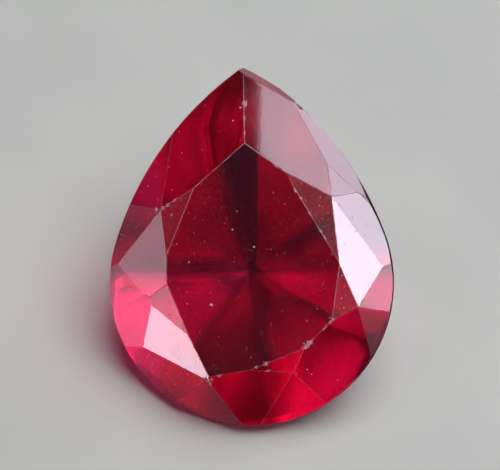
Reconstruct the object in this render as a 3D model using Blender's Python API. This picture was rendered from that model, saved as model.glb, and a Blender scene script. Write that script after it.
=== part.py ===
"""A faceted red beryl: a pear-shaped brilliant cut from one crystal, lying on a pavilion facet.

The stone is made the way a cutter makes it. A block is ground down by one flat cut for each facet: the
girdle outline first, then the table, the crown and the pavilion. All the cuts are set out in the stone's
own frame, in millimetres: X to the right and Y towards the tip as one looks down on the table, Z along the
table's normal, and zero at the centre of the round end, level with the girdle's upper edge. At the end the
stone is turned to lie on its rest facet, tip raised, with the middle of its footprint at the origin.
"""

import math

import bmesh
import bpy
from mathutils import Matrix, Vector

MM = 0.001  # metres

# Outline: a round end, two flanks tangent to it and a small round tip tangent to both flanks.
ROUND_END_RADIUS = 4.0
FLANK_RADIUS = 9.4
TIP_RADIUS = 0.35
TIP_Y = 6.07
ROUND_END_STEP = 5.0  # degrees between two girdle cuts on the round end
FLANK_STEP = 1.6  # and on a flank
TIP_STEP = 9.0  # and round the tip

# Heights
CROWN_HEIGHT = 1.15
GIRDLE_BOTTOM = -0.52
CULET = Vector((0.07, 0.39, -4.2))
CULET_FLAT = 0.05  # height worn off the point

BLOCK_SIZE = 24.0
POINT_GAP = 1e-5  # points nearer than this are one
SHORTEST_EDGE = 0.06  # facets that nearly meet in one point are made to

# The crown's main facets: azimuth of the facet from +X, its angle to the table plane, and its reach, the
# distance from the stone's axis at which it would meet the zero level.
CROWN_MAINS = {
    "tip_right": (53, 34.0, 4.77),
    "right": (10, 40.0, 3.87),
    "lower_right": (314, 40.0, 3.68),
    "bottom": (278, 38.5, 3.82),
    "lower_left": (205, 37.0, 3.76),
    "left": (179, 38.5, 3.82),
    "tip_left": (130, 35.5, 4.68),
}

# Where neighbouring crown mains meet, as the height of the meet point. The two left-hand mains don't meet:
# the star between them runs down to a short edge, from one point on each.
MEET_HEIGHTS = {
    ("tip_right", "right"): 1.02,
    ("right", "lower_right"): 0.92,
    ("lower_right", "bottom"): 0.93,
    ("bottom", "lower_left"): 1.08,
    ("left", "tip_left"): 1.03,
}
SPLIT_MEET = {"left": (-2.9, -0.4), "lower_left": (-2.87, -0.73)}

# The table's corners that the star facets start from, and where the narrow star at the tip ends.
TABLE_CORNERS = {
    "tip": (-0.03, 3.95),
    "tip_right": (1.3, 2.55),
    "right_upper": (2.32, 0.75),
    "right_lower": (2.42, 0.25),
    "lower_right": (2.2, -1.1),
    "bottom_right": (1.55, -1.8),
    "bottom": (0.6, -2.15),
    "lower_left": (-1.85, -1.3),
    "left_lower": (-2.45, 0.25),
    "left_upper": (-2.3, 1.0),
    "tip_left": (-1.6, 2.6),
}
NARROW_STAR_END = (1.52, 2.7)

# Outer points of the crown's break facets, going round from the tip by the right. Most lie on the girdle,
# whose upper edge is scalloped by them. Those named for a main are that facet's own outer corner.
BREAK_POINTS = {
    "tip_right_end": (1.95, 4.65, 0.0),
    "right_shoulder": (3.3, 2.5, -0.1),
    "right_main": (3.73, 0.38, 0.1),
    "right_hip": (3.9, -0.9, -0.2),
    "lower_right_end": (3.3, -2.2, -0.15),
    "lower_right_hip": (1.98, -3.45, -0.25),
    "bottom_right_end": (0.2, -4.0, -0.15),
    "bottom_left_end": (-0.62, -3.95, -0.15),
    "lower_left_hip": (-2.25, -3.3, -0.2),
    "lower_left_main": (-3.1, -1.72, 0.17),
    "left_hip": (-3.95, -0.7, -0.3),
    "left_main": (-3.75, 0.65, 0.05),
    "left_shoulder": (-3.4, 2.3, -0.1),
    "tip_left_end": (-2.1, 4.35, 0.0),
}

# The girdle's right side is ground a little conical, so that a thin band of it shows from above.
GIRDLE_TAPER_RANGE = (-70.0, 30.0)  # degrees
GIRDLE_TAPER_ANGLE = 76.0
GIRDLE_TAPER_WIDTH = 0.09

# The pavilion's seven mains all reach the culet, each at the angle that brings it to the girdle. Between two
# of them lie two break facets, at these shares of the way round, each steeper by this angle than a main.
PAVILION_AZIMUTHS = (358, 47, 98, 150, 201, 254, 306)
REST_AZIMUTH = 254
BREAK_SHARES = (0.18, 0.82)
BREAK_STEEPER = 6.5

# The chip in the girdle, right of the tip: two small flat breaks.
CHIP_POINT = Vector((1.53, 5.03, -0.18))
CHIP_CUTS = ((36.0, 62.0, 0.085), (58.0, 74.0, 0.06))  # azimuth, angle, depth


# Outline


def flank_centre():
    """Centre of the right flank's arc, inside the round end's tangent and the tip's."""
    tip_centre = TIP_Y - TIP_RADIUS
    to_round_end = FLANK_RADIUS - ROUND_END_RADIUS
    to_tip = FLANK_RADIUS - TIP_RADIUS
    y = (to_round_end**2 + tip_centre**2 - to_tip**2) / (2 * tip_centre)
    return Vector((-math.sqrt(to_round_end**2 - y**2), y))


def flank_ends():
    """Azimuths that the outline faces at the right flank's start, by the round end, and end, by the tip."""
    centre = flank_centre()
    start = math.degrees(math.atan2(-centre.y, -centre.x))
    end = math.degrees(math.atan2(TIP_Y - TIP_RADIUS - centre.y, -centre.x))
    return start, end


def outline_reach(azimuth):
    """Distance from the stone's axis to the outline's tangent line that faces this azimuth, in degrees."""
    angle = math.radians(azimuth)
    facing = Vector((abs(math.cos(angle)), math.sin(angle)))
    folded = math.degrees(math.atan2(facing.y, facing.x))
    start, end = flank_ends()
    if folded <= start:
        return ROUND_END_RADIUS
    if folded <= end:
        return flank_centre().dot(facing) + FLANK_RADIUS
    return (TIP_Y - TIP_RADIUS) * facing.y + TIP_RADIUS


def stepped(start, end, step):
    """Evenly spaced values from start up to end, as near to step apart as fits."""
    count = max(1, round((end - start) / step))
    return [start + (end - start) * i / count for i in range(count)]


def girdle_azimuths():
    """The azimuths of the girdle cuts, the right half's from the bottom to the tip and then the left's."""
    start, end = flank_ends()
    right = stepped(-90, start, ROUND_END_STEP) + stepped(start, end, FLANK_STEP) + stepped(end, 90, TIP_STEP)
    left = [180 - azimuth for azimuth in right if azimuth > -90]
    return right + [90] + left


# Cutting


def facet_normal(azimuth, angle):
    """Outward normal of the facet that faces the azimuth, at this angle to the table plane, in degrees."""
    turn, tilt = math.radians(azimuth), math.radians(angle)
    return Vector((math.cos(turn) * math.sin(tilt), math.sin(turn) * math.sin(tilt), math.cos(tilt)))


def angled_plane(azimuth, angle, reach):
    """(point, outward normal) of a facet given the way a cutting list gives it."""
    normal = facet_normal(azimuth, angle)
    return Vector((math.cos(math.radians(azimuth)), math.sin(math.radians(azimuth)), 0)) * reach, normal


def plane_through(a, b, c, inside):
    """(point, outward normal) of the facet through three points, facing away from the point inside."""
    normal = (b - a).cross(c - a).normalized()
    if normal.dot(a - inside) < 0:
        normal.negate()
    return a, normal


def height_on(plane, x, y):
    """Height of the plane above the plan point."""
    point, normal = plane
    return point.z - (normal.x * (x - point.x) + normal.y * (y - point.y)) / normal.z


def on_plane(plane, x, y):
    """The point of the plane above the plan point."""
    return Vector((x, y, height_on(plane, x, y)))


def meet_point(first, second, height):
    """The point at this height on the edge in which two facets meet."""
    (a, m), (b, n) = first, second
    d = m.dot(a) - m.z * height
    e = n.dot(b) - n.z * height
    across = m.x * n.y - m.y * n.x
    return Vector(((d * n.y - e * m.y) / across, (m.x * e - n.x * d) / across, height))


def cut(stone, plane):
    """Grinds the stone flat on the plane: what lies outside goes, and the cut is closed by one face."""
    point, normal = plane
    whole = stone.verts[:] + stone.edges[:] + stone.faces[:]
    result = bmesh.ops.bisect_plane(
        stone, geom=whole, dist=POINT_GAP, plane_co=point, plane_no=normal, clear_outer=True
    )
    rim = [item for item in result["geom_cut"] if isinstance(item, bmesh.types.BMEdge)]
    open_rim = [edge for edge in rim if edge.is_boundary]
    if open_rim:
        bmesh.ops.edgeloop_fill(stone, edges=open_rim)
    bmesh.ops.remove_doubles(stone, verts=stone.verts[:], dist=POINT_GAP)


# Facets


def crown_planes():
    """Every crown facet: the mains, the stars along the table's edge and the breaks along the girdle."""
    inside = Vector((0, 0, -1))
    mains = {name: angled_plane(*values) for name, values in CROWN_MAINS.items()}
    meets = {pair: meet_point(mains[pair[0]], mains[pair[1]], z) for pair, z in MEET_HEIGHTS.items()}
    upper_split = on_plane(mains["left"], *SPLIT_MEET["left"])
    lower_split = on_plane(mains["lower_left"], *SPLIT_MEET["lower_left"])
    corner = {name: Vector((x, y, CROWN_HEIGHT)) for name, (x, y) in TABLE_CORNERS.items()}
    outer = {name: Vector(point) for name, point in BREAK_POINTS.items()}
    right_meet = meets["tip_right", "right"]
    hip_meet = meets["right", "lower_right"]
    bottom_meet = meets["lower_right", "bottom"]
    left_foot = meets["bottom", "lower_left"]
    left_meet = meets["left", "tip_left"]
    narrow_end = on_plane(mains["tip_right"], *NARROW_STAR_END)
    stars = (
        (corner["tip"], corner["tip_right"], narrow_end),
        (corner["tip_right"], corner["right_upper"], right_meet),
        (corner["right_lower"], corner["lower_right"], hip_meet),
        (corner["bottom_right"], corner["bottom"], bottom_meet),
        (corner["lower_left"], corner["left_lower"], (upper_split + lower_split) / 2),
        (corner["left_upper"], corner["tip_left"], left_meet),
    )
    breaks = (
        (right_meet, outer["tip_right_end"], outer["right_shoulder"]),
        (right_meet, outer["right_shoulder"], outer["right_main"]),
        (hip_meet, outer["right_main"], outer["right_hip"]),
        (hip_meet, outer["right_hip"], outer["lower_right_end"]),
        (bottom_meet, outer["lower_right_end"], outer["lower_right_hip"]),
        (bottom_meet, outer["lower_right_hip"], outer["bottom_right_end"]),
        (left_foot, outer["bottom_left_end"], outer["lower_left_hip"]),
        (left_foot, outer["lower_left_hip"], outer["lower_left_main"]),
        (lower_split, outer["lower_left_main"], outer["left_hip"]),
        (upper_split, outer["left_hip"], outer["left_main"]),
        (left_meet, outer["left_main"], outer["left_shoulder"]),
        (left_meet, outer["left_shoulder"], outer["tip_left_end"]),
    )
    table = (Vector((0, 0, CROWN_HEIGHT)), Vector((0, 0, 1)))
    return [table, *mains.values(), *(plane_through(*points, inside) for points in stars + breaks)]


def girdle_planes():
    """The upright cuts of the outline, and the narrow taper on its right side."""
    upright = [angled_plane(azimuth, 90, outline_reach(azimuth)) for azimuth in girdle_azimuths()]
    low, high = GIRDLE_TAPER_RANGE
    taper = []
    for azimuth in girdle_azimuths():
        if low <= azimuth <= high:
            plane = angled_plane(azimuth, GIRDLE_TAPER_ANGLE, outline_reach(azimuth) - GIRDLE_TAPER_WIDTH)
            taper.append(plane)
    return upright + taper


def pavilion_plane(azimuth, steeper=0.0):
    """The pavilion facet that starts at the girdle's lower edge and faces this azimuth.

    It would just reach the culet, or pass below it where it is steeper.
    """
    angle = math.radians(azimuth)
    outward = Vector((math.cos(angle), math.sin(angle), 0))
    run = outline_reach(azimuth) - CULET.dot(outward)
    slope = math.atan2(GIRDLE_BOTTOM - CULET.z, run) + math.radians(steeper)
    edge = outward * outline_reach(azimuth) + Vector((0, 0, GIRDLE_BOTTOM))
    return edge, outward * math.sin(slope) - Vector((0, 0, math.cos(slope)))


def pavilion_planes():
    """The mains, the breaks between them and the worn culet."""
    planes = []
    for i, azimuth in enumerate(PAVILION_AZIMUTHS):
        following = PAVILION_AZIMUTHS[(i + 1) % len(PAVILION_AZIMUTHS)]
        span = (following - azimuth) % 360
        planes.append(pavilion_plane(azimuth))
        planes += [pavilion_plane(azimuth + share * span, BREAK_STEEPER) for share in BREAK_SHARES]
    culet = (CULET + Vector((0, 0, CULET_FLAT)), Vector((0, 0, -1)))
    return planes + [culet]


def chip_planes():
    """The flat breaks of the chip, each a little inside the girdle's corner."""
    planes = []
    for azimuth, angle, depth in CHIP_CUTS:
        normal = facet_normal(azimuth, angle)
        planes.append((CHIP_POINT - normal * depth, normal))
    return planes


# The finished stone


def resting_frame():
    """Turns the stone's own frame so that the rest facet faces down and the tip leans towards +Y."""
    up = -pavilion_plane(REST_AZIMUTH)[1]
    to_tip = Vector((0, 1, 0))
    away = (to_tip - up * to_tip.dot(up)).normalized()
    across = away.cross(up)
    return Matrix((across, away, up)).to_4x4()


def cut_stone():
    """The stone's mesh in its own frame."""
    stone = bmesh.new()
    bmesh.ops.create_cube(stone, size=BLOCK_SIZE)
    for plane in girdle_planes() + crown_planes() + pavilion_planes() + chip_planes():
        cut(stone, plane)
    bmesh.ops.remove_doubles(stone, verts=stone.verts[:], dist=SHORTEST_EDGE)
    bmesh.ops.recalc_face_normals(stone, faces=stone.faces[:])
    return stone


def settle(stone):
    """Lays the stone on its rest facet, in metres, with the middle of its footprint at the origin."""
    bmesh.ops.transform(stone, matrix=resting_frame(), verts=stone.verts[:])
    low = Vector(min(vert.co[axis] for vert in stone.verts) for axis in range(3))
    high = Vector(max(vert.co[axis] for vert in stone.verts) for axis in range(3))
    foot = Vector(((low.x + high.x) / 2, (low.y + high.y) / 2, low.z))
    bmesh.ops.translate(stone, vec=-foot, verts=stone.verts[:])
    bmesh.ops.scale(stone, vec=(MM, MM, MM), verts=stone.verts[:])


def red_beryl():
    """Transparent, deep red, polished."""
    material = bpy.data.materials.new("red beryl, polished")
    material.use_nodes = True
    shader = material.node_tree.nodes["Principled BSDF"]
    shader.inputs["Base Color"].default_value = (0.42, 0.004, 0.04, 1)
    shader.inputs["Roughness"].default_value = 0.03
    shader.inputs["Metallic"].default_value = 0.0
    shader.inputs["IOR"].default_value = 1.57
    return material


def main():
    for old in list(bpy.data.objects):
        bpy.data.objects.remove(old, do_unlink=True)
    collection = bpy.data.collections.new("red beryl")
    bpy.context.scene.collection.children.link(collection)
    stone = cut_stone()
    settle(stone)
    mesh = bpy.data.meshes.new("pear_cut_stone")
    stone.to_mesh(mesh)
    stone.free()
    mesh.materials.append(red_beryl())
    collection.objects.link(bpy.data.objects.new("pear_cut_stone", mesh))


main()
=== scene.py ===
"""A pear-cut red beryl lying on a pale table top, dressed over its solid of flat facets.

The stone's own directions are used throughout: X to the right and Y towards the tip as one looks down on
the table facet, Z along its normal, and millimetres from the middle of the round end at the girdle.
"""

import math
import random

import bmesh
import bpy
from mathutils import Matrix, Vector
from mathutils.bvhtree import BVHTree


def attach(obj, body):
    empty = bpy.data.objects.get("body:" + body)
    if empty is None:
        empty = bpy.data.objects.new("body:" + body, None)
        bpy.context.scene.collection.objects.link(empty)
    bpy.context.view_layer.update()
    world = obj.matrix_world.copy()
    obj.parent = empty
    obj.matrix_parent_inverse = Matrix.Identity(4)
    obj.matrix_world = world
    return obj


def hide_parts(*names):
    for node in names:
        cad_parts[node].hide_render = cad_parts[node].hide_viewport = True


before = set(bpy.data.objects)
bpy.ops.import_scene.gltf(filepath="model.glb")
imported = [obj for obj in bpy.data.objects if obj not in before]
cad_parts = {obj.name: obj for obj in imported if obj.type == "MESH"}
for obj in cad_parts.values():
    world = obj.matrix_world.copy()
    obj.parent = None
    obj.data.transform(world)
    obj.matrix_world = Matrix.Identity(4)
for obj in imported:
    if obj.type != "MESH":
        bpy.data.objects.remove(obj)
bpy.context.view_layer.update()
MM = 0.001  # in the scene's metres

# The solid's own dimensions, by which the stone's directions are found on it
ROUND_END_RADIUS = 4.0
CROWN_HEIGHT = 1.15
WELD_GAP = 0.004  # points of the solid nearer than this are one point
FLAT_WITHIN = math.radians(0.6)  # and faces that turn by less than this are one facet

# What a face belongs to goes by its rise, the cosine between its normal and the table's: above the first of
# these it is the table, above the second the crown, above the third the girdle, and below that the pavilion.
TABLE_RISE, CROWN_RISE, GIRDLE_RISE = 0.99, 0.1, -0.1

# Roughness: the crown's facets are polished finely, the table and the pavilion less so, the girdle is left
# ground, and worn edges and broken places are rougher still.
TABLE_FINISH, CROWN_FINISH, PAVILION_FINISH, GIRDLE_FINISH = 0.1, 0.012, 0.22, 0.45
WORN_FINISH, BROKEN_FINISH = 0.5, 0.62

# How far the crystal is crushed white, from 0 to 1: on scuffed edges, on the other worn edges and in the
# girdle's chip, in the nicks, and on the girdle.
SCUFFED_FROST, FAINT_FROST, NICK_FROST, GIRDLE_FROST = 0.6, 0.12, 0.8, 0.25

# How dusty it is, from 0 to 1, with painted sheen on top. The crown's facets have a trace of dust all round;
# the much larger share on two opposite flanks is painted sheen, a pale film that stands in for the hazy
# reflection on the facets facing right and left. The power says how closely it keeps to them.
TABLE_DUST, CROWN_DUST, FLANK_SHEEN_DUST, GIRDLE_DUST, BROKEN_DUST = 0.15, 0.03, 0.9, 0.3, 1.0
FLANK_TURN = math.radians(19)  # from X, round the table's normal
FLANK_POWER = 4

# The pavilion's ribs are rounded by flats, each turned by one of these shares from one facet to the other.
RIB_RADIUS = 1.5
RIB_SHARES = (0.15, 0.32, 0.5, 0.68, 0.85)

# Edges are worn where they turn by LEAST_TURN, and nicked or rounded from FAINT_TURN on. The crown's and the
# girdle's shortest edges are left alone.
WORN_WIDTH = 0.022
LEAST_TURN = math.radians(9)
FAINT_TURN = LEAST_TURN / 3
SHORTEST_EDGE = 0.15
SCUFFED_FROM = -1.4  # the table's edge is scuffed from here on towards the tip
RIDGE_FROM, RIDGE_HALF_WIDTH = 3.5, 0.2  # and so is the ridge that runs on from it to the tip

# Where edges are nicked: place over the crown, how wide, and how long along the edge
NICKS = (
    (1.53, -1.81, 0.24, 0.30),
    (1.62, -1.74, 0.15, 0.19),
    (2.19, -1.12, 0.15, 0.20),
    (2.02, -1.33, 0.09, 0.16),
    (0.32, -2.20, 0.14, 0.16),
    (0.39, -2.43, 0.11, 0.12),
    (0.00, -2.22, 0.11, 0.14),
    (-1.31, -2.62, 0.15, 0.27),
    (-1.17, -2.70, 0.12, 0.16),
    (-0.99, -2.56, 0.11, 0.14),
    (-2.61, 2.15, 0.14, 0.16),
    (-2.42, 2.17, 0.11, 0.14),
    (-2.27, 2.22, 0.11, 0.14),
    (-2.13, 2.42, 0.09, 0.14),
    (0.70, 3.13, 0.09, 0.19),
    (1.28, 2.55, 0.11, 0.16),
    (1.44, 2.35, 0.09, 0.14),
    (1.68, 1.95, 0.09, 0.16),
    (1.98, 1.41, 0.11, 0.14),
    (2.08, 1.21, 0.09, 0.14),
    (0.01, 5.03, 0.22, 0.24),
    (0.02, 4.20, 0.09, 0.14),
    (0.03, 4.62, 0.09, 0.16),
)
GIRDLE_CHIP = (1.5, 5.0, 0.56, 0.46)
STAND_OFF = 0.16  # of a splinter's width, from the edge, so that its scoop is shallower than it is wide

# Crushed bits left in a nick: their number, as so many and so many more for each millimetre of its width,
# and the least and the most of that width that one measures.
LEAST_BITS, BITS_PER_MM = 4, 60
BIT_SHARES = (0.15, 0.45)

# Dust flecks: how many fall, over what stretch of X and Y and from what height, and how wide they are. Many
# miss the crown, or are dropped where there is little dust and painted sheen, so that most stay on the flanks
# and add pale specks to the painted sheen there. Every fourteenth is a larger one.
FLECKS_FALLING = 9000
FALL_X, FALL_Y, FALL_HEIGHT = (-4, 4), (-4, 6), 6
FLECK_WIDTH, FLECK_SPREAD = 0.018, 0.4
LARGER_EVERY, LARGER_BY = 14, 2.2

SPLINTER_POINTS, GRAIN_POINTS = 14, 7  # jittered points in a splinter, and in a fleck or a crushed bit

# Patterns on the crystal, each from its size: grains of the pale film of dust and painted sheen, the patches
# that it lies in, and hairlines left by polishing, which lie closer together across than along. Real dust
# grains and real hairlines are a few thousandths of a millimetre, too fine to show, so both are drawn much
# coarser.
FILM_GRAIN, FILM_PATCH, HAIRLINE = 1 / 12, 1 / 1.3, 1 / 2.6
HAIRLINE_TURN, HAIRLINE_CLOSER = (0.5, 0.9, 0.35), (1.0, 22.0, 5.0)
HAIRLINE_HEIGHT = 0.0001
# How pale the film of dust and painted sheen makes the crystal, and how rough it and the hairlines make it.
SHEEN_FILM_PALENESS, FILM_ROUGHNESS, HAIRLINE_ROUGHNESS = 0.09, 0.04, 0.01

# Each millimetre of the crystal lets through half of the green light, 97.5% of the red and 73% of the blue.
# The tint isn't a colour to look at: it says how much less than the green each of the others loses.
REFRACTIVE_INDEX = 1.57
LOST_PER_MM = 0.693
LOSS_TINT = (0.9635, 0.0, 0.546, 1)

# The studio
WHITE, SKY = "#FFFFFF", "#F0EAFD"
STONE_MIDDLE = Vector((0, 0, 3 * MM))
LIGHT_AWAY = 200.0
FLOOR_RADIUS, FLOOR_DROP = 500.0, 0.01
ROOM_LIGHT, ROOM_LIGHT_THROUGH_CRYSTAL = 0.01, 0.025

# The camera looks straight down on the table facet.
CAMERA_AWAY = 150.0
VIEW_MIDDLE, VIEW_ROLL = (-0.02, 1.35), math.radians(-1.5)
PICTURE_WIDTH = 500 / 35.6  # in millimetres: 500 pixels, at 35.6 to each
SENSOR = 36.0
NEAREST_SEEN, FURTHEST_SEEN = 1.0, 2000.0


def linear(hex_colour, alpha=1.0):
    """An sRGB hex colour as the linear values that a shader takes."""
    channels = [int(hex_colour[i : i + 2], 16) / 255 for i in (1, 3, 5)]
    return (*[c / 12.92 if c <= 0.04045 else ((c + 0.055) / 1.055) ** 2.4 for c in channels], alpha)


def node(tree, kind, settings=None, links=None):
    """Adds a shader node, sets its sockets and properties, and joins other nodes' outputs to its inputs."""
    made = tree.nodes.new(kind)
    for name, value in (settings or {}).items():
        if isinstance(name, int) or name in made.inputs:
            made.inputs[name].default_value = value
        else:
            setattr(made, name, value)
    for name, output in (links or {}).items():
        tree.links.new(output, made.inputs[name])
    return made


def new_material(name):
    """A material and its node tree, still empty."""
    material = bpy.data.materials.new(name)
    material.use_nodes = True
    material.node_tree.nodes.clear()
    return material, material.node_tree


def add_object(name, data):
    """Puts a mesh, a light or the camera into the scene."""
    made = bpy.data.objects.new(name, data)
    bpy.context.scene.collection.objects.link(made)
    return made


def as_mesh(name, body):
    """Turns a finished bmesh into a mesh, and frees it."""
    mesh = bpy.data.meshes.new(name)
    body.to_mesh(mesh)
    body.free()
    return mesh


def close_hull(body, verts):
    """Closes these points with their convex hull, and drops the points that are left inside it."""
    hull = bmesh.ops.convex_hull(body, input=verts)
    inside = hull["geom_interior"] + hull["geom_unused"]
    loose = {item for item in inside if isinstance(item, bmesh.types.BMVert)}
    bmesh.ops.delete(body, geom=list(loose), context="VERTS")


# The stone's own directions


def faceted_copy(cad_node):
    """The solid's facets as whole flat faces. It is convex, so the hull of its points is free of slivers."""
    points = bmesh.new()
    points.from_mesh(cad_node.data)
    bmesh.ops.remove_doubles(points, verts=points.verts[:], dist=WELD_GAP * MM)
    stone = bmesh.new()
    for vert in points.verts:
        stone.verts.new(vert.co)
    points.free()
    close_hull(stone, stone.verts[:])
    bmesh.ops.dissolve_limit(stone, angle_limit=FLAT_WITHIN, verts=stone.verts[:], edges=stone.edges[:])
    bmesh.ops.recalc_face_normals(stone, faces=stone.faces[:])
    return stone


def own_axes(stone):
    """The stone's own frame, from its table facet, the largest, and the reach of its outline."""
    table = max(stone.faces, key=lambda face: face.calc_area())
    up = table.normal.copy()
    to_tip = Vector((0, up.z, -up.y)).normalized()
    right = to_tip.cross(up)
    across = [vert.co.dot(right) for vert in stone.verts]
    along = [vert.co.dot(to_tip) for vert in stone.verts]
    middle = right * (max(across) + min(across)) / 2
    middle += to_tip * (min(along) + ROUND_END_RADIUS * MM)
    middle += up * (table.verts[0].co.dot(up) - CROWN_HEIGHT * MM)
    axes = Matrix((right, to_tip, up)).transposed().to_4x4()
    axes.translation = middle
    return axes


blank = faceted_copy(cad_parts["pear_cut_stone"])
AXES = own_axes(blank)
UP = AXES.col[2].to_3d()
FLANK = Matrix.Rotation(FLANK_TURN, 3, UP) @ AXES.col[0].to_3d()


def place(x, y, z=0.0):
    """A point given in the stone's own frame, in millimetres, as a place in the scene."""
    return AXES @ (Vector((x, y, z)) * MM)


# Materials


def red_beryl_polished():
    """Red beryl, cut and polished: clear crystal, deep red where light goes far and pink where it is thin.

    A pale film dulls it a little: partly dust, and mostly painted sheen on the crown's two flanks, standing
    in for a hazy reflection there. Hairline polishing marks dull it too, and where it is crushed it turns
    white.
    """
    material, tree = new_material("red_beryl_polished")
    where = node(tree, "ShaderNodeTexCoord").outputs["Object"]
    finish = node(tree, "ShaderNodeAttribute", {"attribute_name": "finish"}).outputs["Fac"]
    dust_sheen = node(tree, "ShaderNodeAttribute", {"attribute_name": "dust_sheen"}).outputs["Fac"]
    frost = node(tree, "ShaderNodeAttribute", {"attribute_name": "frost"}).outputs["Fac"]

    # The pale film is grainy and patchy, and as thick as the dust and painted sheen of the place.
    grains = node(
        tree,
        "ShaderNodeTexNoise",
        {"Scale": 1 / (FILM_GRAIN * MM), "Detail": 3.0, "Roughness": 0.7},
        {"Vector": where},
    )
    patches = node(
        tree, "ShaderNodeTexNoise", {"Scale": 1 / (FILM_PATCH * MM), "Detail": 3.0}, {"Vector": where}
    )
    grainy = node(
        tree, "ShaderNodeMapRange", {"From Min": 0.4, "From Max": 0.7}, {"Value": grains.outputs["Fac"]}
    )
    patchy = node(
        tree,
        "ShaderNodeMapRange",
        {"From Min": 0.3, "From Max": 0.7, "To Min": 0.35},
        {"Value": patches.outputs["Fac"]},
    )
    uneven = node(
        tree,
        "ShaderNodeMath",
        {"operation": "MULTIPLY"},
        {0: grainy.outputs["Result"], 1: patchy.outputs["Result"]},
    )
    film_and_sheen = node(tree, "ShaderNodeMath", {"operation": "MULTIPLY"}, {0: uneven.outputs["Value"], 1: dust_sheen})

    # As far as the film of dust and painted sheen and the crushed crystal make a place pale, no light goes
    # through it.
    crushed = node(tree, "ShaderNodeMath", {"operation": "MULTIPLY"}, {0: grainy.outputs["Result"], 1: frost})
    pale = node(
        tree,
        "ShaderNodeMath",
        {"operation": "MULTIPLY_ADD", 1: SHEEN_FILM_PALENESS, "use_clamp": True},
        {0: film_and_sheen.outputs["Value"], 2: crushed.outputs["Value"]},
    )
    clear = node(
        tree, "ShaderNodeMapRange", {"To Min": 1.0, "To Max": 0.0}, {"Value": pale.outputs["Value"]}
    )
    colour = node(
        tree,
        "ShaderNodeMix",
        {"data_type": "RGBA", 6: linear(WHITE), 7: linear("#F1E4EA")},
        {0: pale.outputs["Value"]},
    )

    # The hairlines stand up a little, and add to the roughness of the polish and the film.
    lines = node(
        tree,
        "ShaderNodeMapping",
        {"Rotation": HAIRLINE_TURN, "Scale": HAIRLINE_CLOSER},
        {"Vector": where},
    )
    marks = node(
        tree,
        "ShaderNodeTexNoise",
        {"Scale": 1 / (HAIRLINE * MM), "Detail": 2.0},
        {"Vector": lines.outputs["Vector"]},
    )
    dulled = node(
        tree,
        "ShaderNodeMath",
        {"operation": "MULTIPLY_ADD", 1: FILM_ROUGHNESS},
        {0: film_and_sheen.outputs["Value"], 2: finish},
    )
    roughness = node(
        tree,
        "ShaderNodeMath",
        {"operation": "MULTIPLY_ADD", 1: HAIRLINE_ROUGHNESS},
        {0: marks.outputs["Fac"], 2: dulled.outputs["Value"]},
    )
    relief = node(
        tree,
        "ShaderNodeBump",
        {"Strength": 0.35, "Distance": HAIRLINE_HEIGHT * MM},
        {"Height": marks.outputs["Fac"]},
    )
    shader = node(
        tree,
        "ShaderNodeBsdfPrincipled",
        {"IOR": REFRACTIVE_INDEX},
        {
            "Base Color": colour.outputs[2],
            "Transmission Weight": clear.outputs["Result"],
            "Roughness": roughness.outputs["Value"],
            "Normal": relief.outputs["Normal"],
        },
    )
    body = node(tree, "ShaderNodeVolumeAbsorption", {"Color": LOSS_TINT, "Density": LOST_PER_MM / MM})
    node(
        tree,
        "ShaderNodeOutputMaterial",
        None,
        {"Surface": shader.outputs["BSDF"], "Volume": body.outputs["Volume"]},
    )
    return material


def speckled(name, light, dark, size, roughness):
    """A matt surface: two tones in grains of this size in millimetres, and the roughness uneven with them."""
    material, tree = new_material(name)
    where = node(tree, "ShaderNodeTexCoord").outputs["Object"]
    grains = node(tree, "ShaderNodeTexNoise", {"Scale": 1 / (size * MM), "Detail": 2.0}, {"Vector": where})
    tones = node(
        tree,
        "ShaderNodeMapRange",
        {"From Min": 0.35, "From Max": 0.65},
        {"Value": grains.outputs["Fac"]},
    )
    colour = node(
        tree,
        "ShaderNodeMix",
        {"data_type": "RGBA", 6: linear(dark), 7: linear(light)},
        {0: tones.outputs["Result"]},
    )
    rough = node(
        tree,
        "ShaderNodeMapRange",
        {"To Min": roughness - 0.1, "To Max": roughness + 0.1},
        {"Value": grains.outputs["Fac"]},
    )
    shader = node(
        tree,
        "ShaderNodeBsdfPrincipled",
        None,
        {"Base Color": colour.outputs[2], "Roughness": rough.outputs["Result"]},
    )
    node(tree, "ShaderNodeOutputMaterial", None, {"Surface": shader.outputs["BSDF"]})
    return material


def stone_dust_pale():
    """Settled stone dust: matt and pale. Its tones are coarser than its grains, so that flecks differ."""
    return speckled("stone_dust_pale", "#F2E6EA", "#A98790", size=0.05, roughness=0.75)


def beryl_crushed_white():
    """Beryl crushed where an edge was knocked: its many breaks scatter light, so that it is nearly white.

    The breaks are too fine to show, so its tones are drawn coarser than they are.
    """
    return speckled("beryl_crushed_white", "#FFF6F8", "#E9C9D2", size=0.03, roughness=0.55)


def matt_laminate_pale():
    """Matt laminate, pale grey, with the faintest mottling."""
    return speckled("matt_laminate_pale", "#DFE1DE", "#D6D9D6", size=6.0, roughness=0.7)


# The stone

# What each face carries for the material: roughness, dust lying on it together with painted sheen on the
# flanks, and how far it is crushed white.
SURFACE = ("finish", "dust_sheen", "frost")


def dust_and_sheen(normal):
    """How much dust and painted sheen a place on the crown has: dust on the table a little, and painted sheen
    on the facets of the two flanks most.
    """
    rise = normal.dot(UP)
    if rise > TABLE_RISE:
        return TABLE_DUST
    aside = (normal - UP * rise).normalized()
    return CROWN_DUST + FLANK_SHEEN_DUST * aside.dot(FLANK) ** FLANK_POWER


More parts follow.
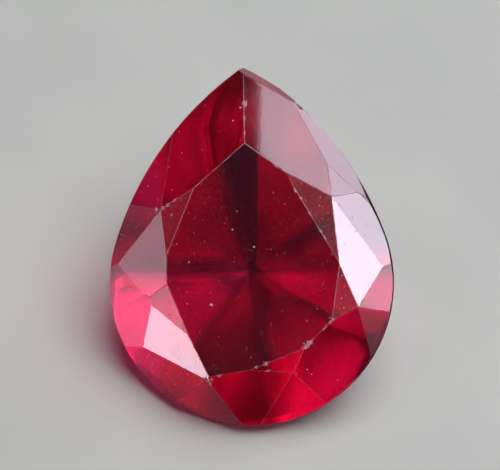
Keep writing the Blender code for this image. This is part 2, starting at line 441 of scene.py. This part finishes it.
def grade_facets(stone):
    """Gives each facet the roughness of its polish, and how much dust and painted sheen lies on it."""
    finish, dust_sheen, frost = (stone.faces.layers.float.new(name) for name in SURFACE)
    for face in stone.faces:
        rise = face.normal.dot(UP)
        if rise > CROWN_RISE:
            face[finish] = TABLE_FINISH if rise > TABLE_RISE else CROWN_FINISH
            face[dust_sheen] = dust_and_sheen(face.normal)
        elif rise > GIRDLE_RISE:
            face[finish], face[dust_sheen], face[frost] = GIRDLE_FINISH, GIRDLE_DUST, GIRDLE_FROST
        else:
            face[finish] = PAVILION_FINISH


def shave(stone, flats):
    """Cuts off what is outside each plane, given as (point, normal, finish, frost), and closes the cut."""
    finish, frost = stone.faces.layers.float["finish"], stone.faces.layers.float["frost"]
    for point, normal, rough, white in flats:
        whole = stone.verts[:] + stone.edges[:] + stone.faces[:]
        result = bmesh.ops.bisect_plane(
            stone, geom=whole, dist=1e-9, plane_co=point, plane_no=normal, clear_outer=True
        )
        rim = [item for item in result["geom_cut"] if isinstance(item, bmesh.types.BMEdge)]
        rim = [edge for edge in rim if edge.is_boundary]
        if rim:
            for face in bmesh.ops.edgeloop_fill(stone, edges=rim)["faces"]:
                face[finish], face[frost] = rough, white
    bmesh.ops.recalc_face_normals(stone, faces=stone.faces[:])


def round_ribs(stone):
    """Rounds the ribs between the pavilion's facets with narrow flats, as polishing by hand does."""
    flats = []
    for edge in stone.edges:
        turn = edge.calc_face_angle(0)
        if turn < FAINT_TURN or any(face.normal.dot(UP) > GIRDLE_RISE for face in edge.link_faces):
            continue
        first, second = (face.normal.copy() for face in edge.link_faces)
        middle = (first + second).normalized()
        for share in RIB_SHARES:
            normal = first.lerp(second, share).normalized()
            depth = RIB_RADIUS * MM * (middle.dot(normal) / math.cos(turn / 2) - 1)
            flats.append((normal * (edge.verts[0].co.dot(normal) - depth), normal, PAVILION_FINISH, 0.0))
    shave(stone, flats)


def crown_edges(stone, least_turn):
    """The edges of the crown and the girdle that turn by this much or more, without the shortest."""
    return [
        edge
        for edge in stone.edges
        if all(face.normal.dot(UP) > GIRDLE_RISE for face in edge.link_faces)
        and edge.calc_face_angle(0) >= least_turn
        and edge.calc_length() >= SHORTEST_EDGE * MM
    ]


def outward_from(edge):
    """The direction out of the stone at an edge, midway between its two faces."""
    return (edge.link_faces[0].normal + edge.link_faces[1].normal).normalized()


def scuffed(edge):
    """Whether wear has crushed this edge white: much of the table's edge, and the ridge up to the tip."""
    middle = AXES.inverted() @ ((edge.verts[0].co + edge.verts[1].co) / 2) / MM
    ridge = abs(middle.x) < RIDGE_HALF_WIDTH and middle.y > RIDGE_FROM
    rim = any(face.normal.dot(UP) > TABLE_RISE for face in edge.link_faces)
    return ridge or (rim and middle.y > SCUFFED_FROM)


def wear_edges(stone):
    """Takes a hair-thin flat off each facet edge of the crown and the girdle, as wear does."""
    flats = []
    for edge in crown_edges(stone, LEAST_TURN):
        normal = outward_from(edge)
        corner = max(vert.co.dot(normal) for vert in stone.verts)
        depth = WORN_WIDTH / 2 * MM * math.tan(edge.calc_face_angle(0) / 2)
        # Nothing on a convex stone stands further out than the edge. Where a merged facet isn't quite flat
        # and something does, the edge stays sharp.
        if corner - edge.verts[0].co.dot(normal) < 0.5 * depth:
            white = SCUFFED_FROST if scuffed(edge) else FAINT_FROST
            flats.append((normal * (corner - depth), normal, WORN_FINISH, white))
    shave(stone, flats)


def shard(into, middle, axes, spans, rng, points):
    """Adds one irregular splinter: the hull of points jittered about an ellipsoid of these half spans.

    They go round it in a spiral of even steps, so that they cover all sides of it.
    """
    verts = []
    for k in range(points):
        rise = 1 - 2 * (k + 0.5) / points
        turn = k * 2.4 + rng.uniform(-0.4, 0.4)
        flat = math.sqrt(1 - rise * rise)
        reach = rng.uniform(0.75, 1.1)
        offset = (
            axes[0] * (math.cos(turn) * flat * spans[0])
            + axes[1] * (math.sin(turn) * flat * spans[1])
            + axes[2] * (rise * spans[2])
        )
        verts.append(into.verts.new(middle + offset * reach * MM))
    close_hull(into, verts)


def turned_axes(normal, rng):
    """Three directions at right angles, the last along the normal, turned about it at random."""
    side = normal.orthogonal().normalized()
    side.rotate(Matrix.Rotation(rng.uniform(0, math.tau), 3, normal))
    return side, normal.cross(side), normal


def nearest_on_edges(edges, over):
    """The place on these edges nearest to a point as seen from above: (place, along, outward)."""
    best = None
    for edge in edges:
        start, end = edge.verts[0].co, edge.verts[1].co
        run = end - start
        flat_run, flat_gap = run - UP * run.dot(UP), (over - start) - UP * (over - start).dot(UP)
        share = min(1, max(0, flat_gap.dot(flat_run) / flat_run.length_squared)) if flat_run.length else 0
        gap = (flat_gap - flat_run * share).length
        if best is None or gap < best[0]:
            best = (gap, start + run * share, run.normalized(), outward_from(edge))
    return best[1:]


def nick_cutters(stone, rng):
    """The splinters broken off the edges, as closed bodies to cut away, and where each crushed nick is."""
    cutters = bmesh.new()
    finish, dust_sheen, frost = (cutters.faces.layers.float.new(name) for name in SURFACE)
    edges = crown_edges(stone, FAINT_TURN)
    broken = []
    for nick in (*NICKS, GIRDLE_CHIP):
        x, y, width, length = nick
        spot, along, outward = nearest_on_edges(edges, place(x, y))
        axes = (along, outward.cross(along), outward)
        middle = spot + outward * width * STAND_OFF * MM
        shard(cutters, middle, axes, (length / 2, width / 2, width / 2), rng, SPLINTER_POINTS)
        # The girdle's chip broke cleanly, so nothing crushed is left in it.
        crushed = nick != GIRDLE_CHIP
        for face in cutters.faces:
            if not face[finish]:
                face[finish], face[dust_sheen] = BROKEN_FINISH, BROKEN_DUST
                face[frost] = NICK_FROST if crushed else FAINT_FROST
        if crushed:
            broken.append((spot, along, outward, width, length))
    return cutters, broken


def cut_away(stone, cutters):
    """The stone's mesh less the splinters, whose faces bring their own finish."""
    whole = add_object("stone", as_mesh("stone", stone))
    splinters = add_object("splinters", as_mesh("splinters", cutters))
    boolean = whole.modifiers.new("nicks", "BOOLEAN")
    boolean.object, boolean.solver, boolean.operation = splinters, "EXACT", "DIFFERENCE"
    boolean.use_self = True
    cut = bpy.data.meshes.new_from_object(whole.evaluated_get(bpy.context.evaluated_depsgraph_get()))
    for made in (whole, splinters):
        mesh = made.data
        bpy.data.objects.remove(made)
        bpy.data.meshes.remove(mesh)
    return cut


def surface_of(mesh):
    """The mesh's surface, for finding where a straight line meets it."""
    outside = bmesh.new()
    outside.from_mesh(mesh)
    surface = BVHTree.FromBMesh(outside)
    outside.free()
    return surface


def dust_on(surface, rng):
    """Pale dust flecks lying on the crown, thickest on its flanks, where they add to the painted sheen."""
    flecks = bmesh.new()
    for k in range(FLECKS_FALLING):
        above = place(rng.uniform(*FALL_X), rng.uniform(*FALL_Y), FALL_HEIGHT)
        spot, normal, _, _ = surface.ray_cast(above, -UP)
        if spot is None or normal.dot(UP) < CROWN_RISE or rng.random() > dust_and_sheen(normal):
            continue
        larger = LARGER_BY if k % LARGER_EVERY == 0 else 1
        width = FLECK_WIDTH * rng.lognormvariate(0, FLECK_SPREAD) * larger
        # A fleck is flat, may be narrow, and sinks in a little.
        spans = (width / 2, width / 2 * rng.uniform(0.4, 1), width / 5)
        middle = spot + normal * width / 12 * MM
        shard(flecks, middle, turned_axes(normal, rng), spans, rng, GRAIN_POINTS)
    return as_mesh("dust_and_sheen_flecks", flecks)


def crushed_in(surface, broken, rng):
    """Crushed crystal left in the nicks, white because it scatters light."""
    bits = bmesh.new()
    for spot, along, outward, width, length in broken:
        across = outward.cross(along)
        for _ in range(LEAST_BITS + int(BITS_PER_MM * width)):
            # Anywhere along the nick, and mostly near its middle across
            shift = along * rng.uniform(-0.5, 0.5) * length + across * rng.gauss(0, 0.2) * width
            hit, normal, _, _ = surface.ray_cast(spot + (shift + outward) * MM, -outward)
            if hit is None:
                continue
            size = rng.uniform(*BIT_SHARES) * width
            spans = (size / 2, size / 2.6, size / 3)
            shard(bits, hit, turned_axes(normal, rng), spans, rng, GRAIN_POINTS)
    return as_mesh("crushed_edges", bits)


def piece(name, mesh, material):
    """A finished piece of the stone, riding on the root."""
    mesh.name = name
    mesh.materials.clear()
    mesh.materials.append(material)
    made = add_object(name, mesh)
    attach(made, "root")
    return made


rng = random.Random(7)
grade_facets(blank)
round_ribs(blank)
wear_edges(blank)
cutters, broken = nick_cutters(blank, rng)
cut = cut_away(blank, cutters)
surface = surface_of(cut)
stone = piece("polished_stone", cut, red_beryl_polished())
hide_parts("pear_cut_stone")
piece("dust_and_sheen_flecks", dust_on(surface, rng), stone_dust_pale())
piece("crushed_edges", crushed_in(surface, broken, rng), beryl_crushed_white())


# The studio


def floor():
    """A round table top, far wider than the stone. The stone neither mirrors nor refracts it."""
    top = bmesh.new()
    bmesh.ops.create_circle(top, cap_ends=True, segments=96, radius=FLOOR_RADIUS * MM)
    bmesh.ops.translate(top, vec=(0, 0, -FLOOR_DROP * MM), verts=top.verts[:])
    mesh = as_mesh("table_top", top)
    mesh.materials.append(matt_laminate_pale())
    made = add_object("table_top", mesh)
    made.visible_glossy = made.visible_transmission = False


def softbox(name, azimuth, elevation, wide, tall, radiance, roll=0.0, shift=(0.0, 0.0)):
    """An area light aimed at the stone: its direction and the angles that it fills, in degrees.

    The name's first word says what it is for: what the polish mirrors, the glow that comes through the
    crystal, or the matt surfaces. The roll and the shift, in millimetres, are in the light's own plane.
    """
    purpose = name.split("_")[0]
    turn, rise = math.radians(azimuth), math.radians(elevation)
    way = Vector((math.cos(turn) * math.cos(rise), math.sin(turn) * math.cos(rise), math.sin(rise)))
    data = bpy.data.lights.new(name, "AREA")
    data.shape = "RECTANGLE"
    data.size = 2 * LIGHT_AWAY * math.tan(math.radians(wide) / 2) * MM
    data.size_y = 2 * LIGHT_AWAY * math.tan(math.radians(tall) / 2) * MM
    data.energy = radiance * math.pi * data.size * data.size_y
    data.color = linear(SKY if purpose == "mirror" else WHITE)[:3]
    light = add_object(name, data)
    light.matrix_world = (
        Matrix.Translation(STONE_MIDDLE + way * LIGHT_AWAY * MM)
        @ way.to_track_quat("Z", "Y").to_matrix().to_4x4()
        @ Matrix.Rotation(math.radians(roll), 4, "Z")
        @ Matrix.Translation(Vector((*shift, 0)) * MM)
    )
    light.visible_camera = False
    light.visible_diffuse = purpose == "matt"
    light.visible_glossy = purpose == "mirror"
    light.visible_transmission = purpose == "glow"


floor()
softbox("mirror_window", 351, 24, 20, 14, 10.5)
softbox("mirror_window_side", 4, 19, 52, 14, 3.4)
softbox("mirror_window_low", 9, 16, 9, 9, 3.0)
softbox("mirror_right", 18, 9, 66, 36, 4.3)
softbox("mirror_upper_right", 31, 57, 26, 22, 6.6, roll=-28.8, shift=(4.0, -36.0))
softbox("mirror_left", 204, -11, 7, 8, 10.4)
softbox("mirror_left_wide", 188, -8, 34, 22, 1.7)
softbox("mirror_left_upper", 189, 0, 36, 10, 1.5)
softbox("mirror_back", 152, -9, 14, 12, 0.3)
softbox("mirror_under", 215, -48, 60, 26, 0.25)
softbox("mirror_high", 290, 52, 34, 28, 0.4)
softbox("mirror_front_left", 216, 48, 12, 12, 0.18)
softbox("mirror_under_right", 341, -12, 14, 14, 0.5)
softbox("mirror_under_far", 61, -19, 14, 14, 0.45)
softbox("glow_right", 5, 38, 34, 20, 5.0)
softbox("glow_high", 345, 64, 26, 14, 2.2)
softbox("glow_high_front", 317, 60, 20, 14, 2.2)
softbox("glow_front_high", 285, 57, 10, 8, 1.5)
softbox("glow_front", 271, 30, 22, 14, 0.35)
softbox("glow_front_low", 247, 19, 12, 10, 0.6)
softbox("glow_front_right", 293, 14, 22, 16, 1.4)
softbox("glow_front_left", 230, 32, 12, 10, 1.0)
softbox("glow_front_left_low", 230, 12, 14, 12, 1.0)
softbox("glow_front_left_high", 225, 57, 18, 14, 1.5)
softbox("glow_left", 200, 63, 40, 24, 0.2)
softbox("glow_left_low", 195, 25, 18, 14, 1.0)
softbox("glow_overhead", 180, 78, 20, 14, 1.0)
softbox("glow_back_left", 135, 55, 18, 14, 1.0)
softbox("glow_back_low", 170, 6, 24, 18, 1.5)
softbox("glow_back", 100, 20, 24, 18, 1.0)
softbox("glow_front_under", 246, -10, 24, 24, 1.0)
softbox("glow_right_under", 308, -12, 26, 22, 0.5)
softbox("glow_deep", 262, -50, 40, 20, 0.6)
softbox("matt_above", 20, 80, 50, 50, 3.2)

world = bpy.data.worlds.new("dim room")
bpy.context.scene.world = world
world.use_nodes = True
through = node(world.node_tree, "ShaderNodeLightPath").outputs["Is Transmission Ray"]
dimmed = node(
    world.node_tree,
    "ShaderNodeMapRange",
    {"To Min": ROOM_LIGHT, "To Max": ROOM_LIGHT_THROUGH_CRYSTAL},
    {"Value": through},
)
background = world.node_tree.nodes["Background"]
world.node_tree.links.new(dimmed.outputs["Result"], background.inputs["Strength"])
background.inputs["Color"].default_value = linear(WHITE)

camera_data = bpy.data.cameras.new("camera")
camera_data.sensor_width = SENSOR
camera_data.lens = SENSOR * CAMERA_AWAY / PICTURE_WIDTH
camera_data.clip_start = NEAREST_SEEN * MM
camera_data.clip_end = FURTHEST_SEEN * MM
camera = add_object("camera", camera_data)
camera.matrix_world = (
    Matrix.Translation(place(*VIEW_MIDDLE, CAMERA_AWAY))
    @ AXES.to_3x3().to_4x4()
    @ Matrix.Rotation(VIEW_ROLL, 4, "Z")
)
bpy.context.scene.camera = camera

scene = bpy.context.scene
scene.view_settings.view_transform = "Standard"
scene.cycles.max_bounces = 32
scene.cycles.glossy_bounces = 24
scene.cycles.transmission_bounces = 24
